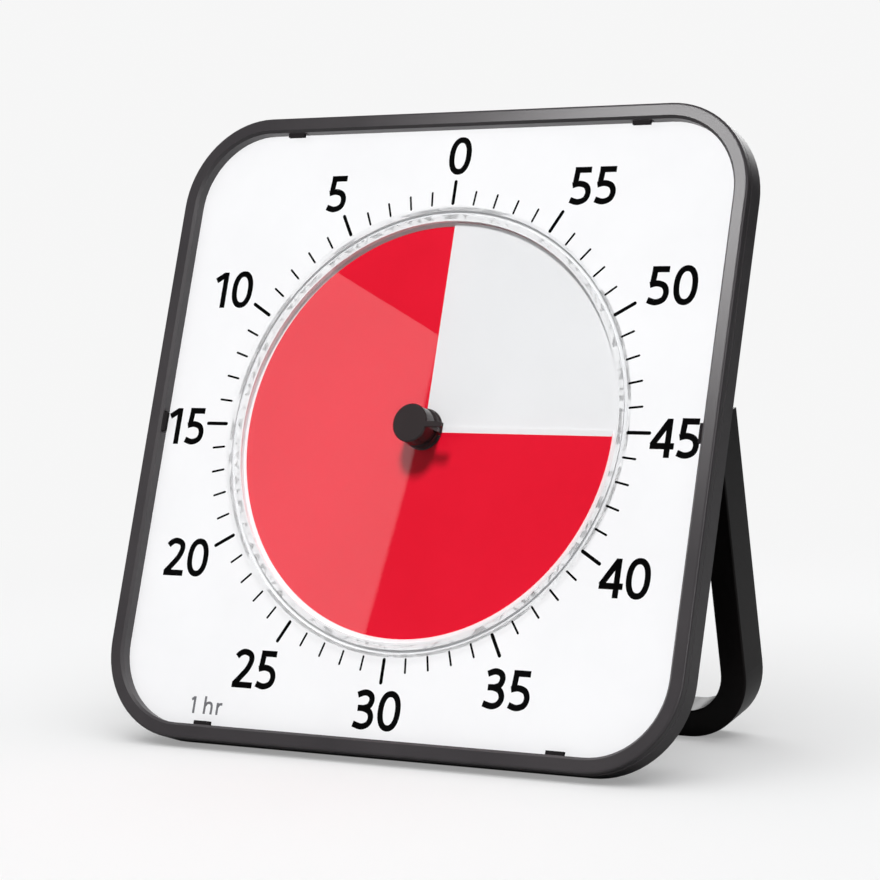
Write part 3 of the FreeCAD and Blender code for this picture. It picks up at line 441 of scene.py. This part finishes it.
# Plain numerals of a humanist sans, each a few strokes in a box 18 mm high:
# (left bearing, width, [(points, smooth)])
RING = [(5.9 + 4.55 * math.copysign(abs(math.cos(a)) ** 0.9, math.cos(a)),
         9.2 + 7.85 * math.copysign(abs(math.sin(a)) ** 0.9, math.sin(a)))
        for a in [math.radians(10 * step) for step in range(36)]]
DIGITS = {
    "0": (0.55, 11.8, [(RING + RING[:1], False)]),
    "1": (3.1, 7.0, [([(5.65, 0), (5.65, 17.9)], False), ([(0.3, 13.7), (5.0, 16.6)], False)]),
    "2": (0.45, 11.4, [([(0.9, 14.5), (2.6, 16.1), (5.1, 16.9), (8.3, 15.8), (9.2, 13.1),
                         (7.6, 9.0), (4.4, 5.1), (1.5, 1.9)], True),
                       ([(0.1, 1.3), (11.4, 1.3)], False)]),
    "3": (0.75, 10.6, [([(0.9, 15.6), (4.6, 16.9), (7.7, 16.0), (8.7, 13.6), (7.5, 10.8),
                         (4.3, 9.6)], True),
                       ([(1.7, 9.6), (4.9, 9.6), (8.1, 8.3), (9.3, 5.3), (8.0, 2.5), (4.7, 1.3),
                         (0.2, 2.3)], True)]),
    "4": (0.3, 11.9, [([(8.7, 0), (8.7, 17.8)], False), ([(0.1, 5.3), (11.9, 5.3)], False),
                      ([(1.0, 5.6), (8.6, 17.0)], False)]),
    "5": (0.9, 10.5, [([(1.0, 16.7), (9.6, 16.7)], False), ([(2.5, 16.7), (1.9, 9.4)], False),
                      ([(0.55, 9.35), (4.2, 10.1), (7.8, 8.9), (9.1, 5.8), (7.9, 2.6),
                        (4.2, 1.3), (0.2, 2.4)], True)]),
}
DIGIT_ADVANCE, DIGIT_MIDDLE = 12.9, 9.15
NUMERALS = [
    ("0", 0.3, 131.8), ("5", -65.5, 114.7), ("10", -117.2, 67.0), ("15", -131.8, -1.5),
    ("20", -118.9, -65.9), ("25", -69.5, -117.1), ("30", 0.3, -131.8), ("35", 66.0, -118.0),
    ("40", 116.7, -65.4), ("45", 132.0, -1.9), ("50", 121.0, 67.8), ("55", 73.8, 115.6),
]
for number, x, y in NUMERALS:
    first_left = DIGITS[number[0]][0]
    last_right = DIGIT_ADVANCE * (len(number) - 1) + sum(DIGITS[number[-1]][:2])
    left = PRINT_X + x - (first_left + last_right) / 2
    base = PRINT_Y + y - DIGIT_MIDDLE
    strokes = []
    for place_in_number, digit in enumerate(number):
        bearing, _, parts = DIGITS[digit]
        shift = left + bearing + DIGIT_ADVANCE * place_in_number
        for points, smooth in parts:
            path = smooth_path(points) if smooth else points
            strokes.append(([(shift + px, base + py) for px, py in path], STROKE))
    print_strokes("numeral_" + number, strokes, black_ink)

# Small grey unit label at the lower left: a numeral one and the letters h and r
LABEL_X, LABEL_Y = PRINT_X - 102.5, PRINT_Y - 140
LABEL = [([(1.9, 0), (1.9, 8)], False), ([(0.2, 6.4), (1.9, 7.6)], False),
         ([(8.0, 0), (8.0, 8.4)], False),
         ([(8.2, 3.9), (9.3, 5.2), (11.0, 5.3), (11.9, 3.9), (11.9, 0)], True),
         ([(15.2, 0), (15.2, 5.7)], False), ([(15.4, 3.8), (16.3, 5.0), (17.8, 5.2)], True)]
LABEL_STROKE = 1.25
label_strokes = []
for points, smooth in LABEL:
    path = smooth_path(points) if smooth else points
    label_strokes.append(([(LABEL_X + px, LABEL_Y + py) for px, py in path], LABEL_STROKE))
print_strokes("hour_label", label_strokes, grey_ink)

# Camera at the photograph's place, angle and lens
camera_data = bpy.data.cameras.new("camera")
CAMERA_PLACE, CAMERA_ANGLES = (0.71952, -1.17017, 0.29562), (83.4706, 2.5450, 31.1740)
camera_data.lens = 122.07
camera_data.sensor_width = 36
camera_data.clip_end = 50
camera = bpy.data.objects.new("camera", camera_data)
camera.location = CAMERA_PLACE
camera.rotation_euler = [math.radians(angle) for angle in CAMERA_ANGLES]
bpy.context.scene.collection.objects.link(camera)
bpy.context.scene.camera = camera

# Flat floor: it takes soft shadows near the timer and turns into plain pale backdrop farther
# off. It is seen pale, and bounces less light than that so the shadows on the timer stay.
PALE = 0.925
FLOOR_TONES, BOUNCE_TONE, FLOOR_GLOW = (0.62, 0.64), 0.45, 0.29
FADE_START, FADE_END = 0.30, 0.75
floor_material, tree, output = new_material("studio_floor")
place = node(tree, "TexCoord")
cloud = node(tree, "TexNoise", Scale=3.0)
tone = node(tree, "ValToRGB")
for stop, grey in zip(tone.color_ramp.elements, FLOOR_TONES):
    stop.color = (grey, grey, grey, 1)
matt = node(tree, "BsdfDiffuse")
dim = node(tree, "BsdfDiffuse", Color=(BOUNCE_TONE, BOUNCE_TONE, BOUNCE_TONE, 1))
glow = node(tree, "Emission", Color=(1, 1, 1, 1), Strength=FLOOR_GLOW)
lit = node(tree, "AddShader")
plain = node(tree, "Emission", Color=(1, 1, 1, 1), Strength=PALE)
distance = node(tree, "VectorMath", operation="LENGTH")
fade = node(tree, "MapRange")
fade.interpolation_type = "SMOOTHSTEP"
fade.inputs["From Min"].default_value = FADE_START
fade.inputs["From Max"].default_value = FADE_END
near_far = node(tree, "MixShader")
path = node(tree, "LightPath")
seen_floor = node(tree, "MixShader")
link = tree.links.new
link(place.outputs["Object"], cloud.inputs["Vector"])
link(cloud.outputs["Fac"], tone.inputs["Fac"])
link(tone.outputs["Color"], matt.inputs["Color"])
link(matt.outputs["BSDF"], lit.inputs[0])
link(glow.outputs["Emission"], lit.inputs[1])
link(place.outputs["Object"], distance.inputs[0])
link(distance.outputs["Value"], fade.inputs["Value"])
link(fade.outputs["Result"], near_far.inputs["Fac"])
link(lit.outputs["Shader"], near_far.inputs[1])
link(plain.outputs["Emission"], near_far.inputs[2])
link(path.outputs["Is Camera Ray"], seen_floor.inputs["Fac"])
link(dim.outputs["BSDF"], seen_floor.inputs[1])
link(near_far.outputs["Shader"], seen_floor.inputs[2])
link(seen_floor.outputs["Shader"], output.inputs["Surface"])

FLOOR_HALF = 8.0
floor_mesh = bpy.data.meshes.new("floor")
floor_mesh.from_pydata([(-FLOOR_HALF, -FLOOR_HALF, 0), (FLOOR_HALF, -FLOOR_HALF, 0),
                        (FLOOR_HALF, FLOOR_HALF, 0), (-FLOOR_HALF, FLOOR_HALF, 0)], [],
                       [[0, 1, 2, 3]])
floor_mesh.materials.append(floor_material)
floor = bpy.data.objects.new("floor", floor_mesh)
bpy.context.scene.collection.objects.link(floor)

# World: pale to the camera, dim in reflections, soft grey as fill
WORLD_FILL, WORLD_MIRRORED = 0.15, 0.05
world = bpy.data.worlds.new("studio")
bpy.context.scene.world = world
world.use_nodes = True
tree = world.node_tree
tree.nodes.clear()
output = tree.nodes.new("ShaderNodeOutputWorld")
path = node(tree, "LightPath")
fill = node(tree, "Background", Color=(0.95, 0.97, 1.0, 1), Strength=WORLD_FILL)
seen = node(tree, "Background", Color=(1, 1, 1, 1), Strength=PALE)
mirrored = node(tree, "Background", Color=(1, 1, 1, 1), Strength=WORLD_MIRRORED)
first = node(tree, "MixShader")
second = node(tree, "MixShader")
tree.links.new(path.outputs["Is Glossy Ray"], first.inputs["Fac"])
tree.links.new(fill.outputs["Background"], first.inputs[1])
tree.links.new(mirrored.outputs["Background"], first.inputs[2])
tree.links.new(path.outputs["Is Camera Ray"], second.inputs["Fac"])
tree.links.new(first.outputs["Shader"], second.inputs[1])
tree.links.new(seen.outputs["Background"], second.inputs[2])
tree.links.new(second.outputs["Shader"], output.inputs["Surface"])


def add_light(name, position, target, size, power, shown_to=("diffuse", "glossy")):
    """A square studio lamp aimed at a point and hidden from the camera."""
    data = bpy.data.lights.new(name, "AREA")
    data.shape = "SQUARE"
    data.size = size
    data.energy = power
    lamp = bpy.data.objects.new(name, data)
    lamp.location = position
    lamp.rotation_euler = (Vector(target) - Vector(position)).to_track_quat("-Z", "Y").to_euler()
    lamp.visible_camera = False
    lamp.visible_diffuse = "diffuse" in shown_to
    lamp.visible_glossy = "glossy" in shown_to
    bpy.context.scene.collection.objects.link(lamp)
    return lamp


# A key from above casts the knob's shadow down the dial. It lights the timer alone, and the
# thin bezel doesn't block it.
KEY_RANGE = 8000.0
KEY_DIRECTION = (0.109, 0.711, 0.695)
key = add_light("key", dial(*[part * KEY_RANGE for part in KEY_DIRECTION]), dial(0, 0, 0), 1.6,
                770, ("diffuse",))
blockers = bpy.data.collections.new("key_blockers")
lit_by_key = bpy.data.collections.new("lit_by_key")
for name, cad_node in frame["nodes"].items():
    lit_by_key.objects.link(cad_node)
    if name != "front_bezel":
        blockers.objects.link(cad_node)
for piece in pieces:
    lit_by_key.objects.link(piece)
    if piece.name == "knob_nose":
        blockers.objects.link(piece)
key.light_linking.blocker_collection = blockers
key.light_linking.receiver_collection = lit_by_key

# A broad lamp overhead lights the floor alone and gives the soft contact shadows
overhead = add_light("overhead", (0, 0.1, 1.3), (0, 0.1, 0), 2.4, 31.5, ("diffuse",))
lit_from_above = bpy.data.collections.new("lit_from_above")
lit_from_above.objects.link(floor)
overhead.light_linking.receiver_collection = lit_from_above

# A wide panel fills from the front left, and a small lamp near the face adds the sheen on the
# upper right of the bezel
add_light("front_panel", (-1.3, -2.0, 1.5), (0, 0, 0.12), 1.6, 5, ("diffuse",))
corner_lamp = add_light("corner_lamp", dial(-10, 203, 270), dial(125, 135, 6), 0.16, 1.2,
                        ("glossy",))
bezel_alone = bpy.data.collections.new("bezel_alone")
bezel_alone.objects.link(frame["nodes"]["front_bezel"])
corner_lamp.light_linking.receiver_collection = bezel_alone


def add_card(name, corners, strength):
    """A flat emitter seen only in reflections, for whatever it is linked to."""
    mesh = bpy.data.meshes.new(name)
    mesh.from_pydata([tuple(c) for c in corners], [], [list(range(len(corners)))])
    material, tree, output = new_material(name)
    emission = node(tree, "Emission", Color=(1, 1, 1, 1), Strength=strength)
    tree.links.new(emission.outputs["Emission"], output.inputs["Surface"])
    mesh.materials.append(material)
    card = bpy.data.objects.new(name, mesh)
    bpy.context.scene.collection.objects.link(card)
    card.visible_camera = False
    card.visible_diffuse = False
    card.visible_shadow = False
    return card


# The card in front gives the pale veil on the lens: its reflected edges lie where the veil ends
LENS_FRONT, CARD_HEIGHT = 2.5, 900.0
VEIL = [(-112, 101.6), (2.8, 43.9), (-3.3, -27.8), (-13.1, -95.9), (-14, -112), (-112, -112)]
eye = Vector(camera.location)
corners = []
for x, y in VEIL:
    spot = dial(x, y, LENS_FRONT)
    ray = spot - eye
    bounce = ray - DIAL_NORMAL * (2 * ray.dot(DIAL_NORMAL))
    corners.append(spot + bounce * ((CARD_HEIGHT - LENS_FRONT) / 1000 / bounce.dot(DIAL_NORMAL)))
add_card("white_card", corners, 1.1)
# The tall strip at the right is reflected by the bezel alone, and draws the thin light line
# along its rounded edge
STRIP = [(x, y, h) for x, h in ((918, 554), (1018, 456)) for y in (-300, 700)]
edge_card = add_card("edge_card", [dial(*STRIP[i]) for i in (0, 1, 3, 2)], 8.0)
edge_card.light_linking.receiver_collection = bezel_alone
# The card behind gives the pale streak inside the foot of the stand
add_card("back_card", [(-0.35, 0.45, 0.12), (0.15, 0.45, 0.12), (0.15, 0.60, 0.55),
                       (-0.35, 0.60, 0.55)], 3.5)

bpy.context.scene.view_settings.view_transform = "Standard"
